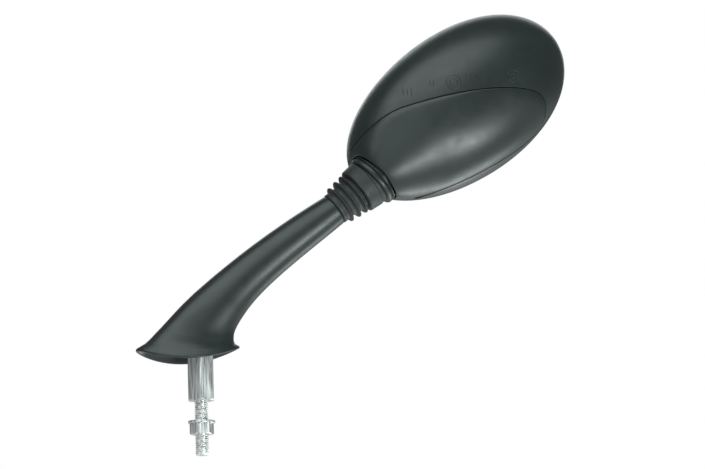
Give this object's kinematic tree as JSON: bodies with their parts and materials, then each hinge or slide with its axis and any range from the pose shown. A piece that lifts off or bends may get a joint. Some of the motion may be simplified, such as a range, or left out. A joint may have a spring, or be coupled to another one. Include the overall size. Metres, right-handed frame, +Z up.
{
  "type": "bike mirror",
  "caption": "Clamp-on handlebar mirror: oval head on a ball joint with a rubber boot, a tapering moulded arm with a flared foot, and a threaded mounting stud.",
  "frame": {"origin": "centre of the hex bar's lower shoulder face, on the mounting stud's axis", "axes": "+Z up the stud's axis towards the arm, +X the way the arm leans, +Y out of the glass"},
  "size_m": [0.2643, 0.0469, 0.2657],
  "materials": {
    "moulded_black": "fine matte grain",
    "inner_plastic": "plain matte",
    "nylon": "satin",
    "boot_rubber": "matte",
    "foam": "open-cell foam",
    "zinc_steel": "bright zinc plate",
    "plain_steel": "oiled steel",
    "glass": "silvered glass"
  },
  "bodies": {
    "arm": {"hex_spacer": "zinc_steel", "mounting_stud": "zinc_steel", "foot_plate": "inner_plastic", "foot_screws": "zinc_steel", "arm_shell": "moulded_black", "arm_core": "plain_steel", "ball_stud": "plain_steel", "jam_nut": "zinc_steel"},
    "washer": {"washer": "zinc_steel"},
    "nut": {"lock_nut": "zinc_steel"},
    "boot": {"boot": "boot_rubber"},
    "liner": {"ball_liner": "nylon"},
    "head": {"neck_ring": "moulded_black", "socket_base": "inner_plastic", "clamp_plate": "plain_steel", "clamp_springs": "plain_steel", "clamp_washers": "zinc_steel", "clamp_screws": "zinc_steel", "chassis": "inner_plastic", "chassis_screws": "zinc_steel", "frame_screws": "zinc_steel", "back_shell": "moulded_black", "lower_panel": "moulded_black", "glass_pad": "foam", "mirror_glass": "glass", "glass_bezel": "boot_rubber"}
  },
  "joints": [
    {"name": "head_swivel", "type": "hinge", "parent": "arm", "child": "boot", "pos_m": [0.1095, 0, 0.13494], "axis": [0.7912, 0, 0.6115], "range_deg": [-30, 30]},
    {"name": "head_tilt", "type": "hinge", "parent": "boot", "child": "liner", "pos_m": [0.1095, 0, 0.13494], "axis": [-0.6115, 0, 0.7912], "range_deg": [-15, 15], "deforming": ["boot"]},
    {"name": "head_pan", "type": "hinge", "parent": "liner", "child": "head", "pos_m": [0.1095, 0, 0.13494], "axis": [0, 1, 0], "range_deg": [-15, 15], "deforming": ["boot"]},
    {"name": "washer_travel", "type": "slide", "parent": "arm", "child": "washer", "axis": [0, 0, 1], "range_m": [-0.0101, 0.0101]},
    {"name": "nut_spin", "type": "hinge", "parent": "washer", "child": "nut", "pos_m": [0, 0, -0.0168], "axis": [0, 0, 1], "range_deg": [-2880, 2880]}
  ],
  "couplings": [
    {"joint": "washer_travel", "follows": "nut_spin", "m_per_rad": 0.00019894}
  ]
}
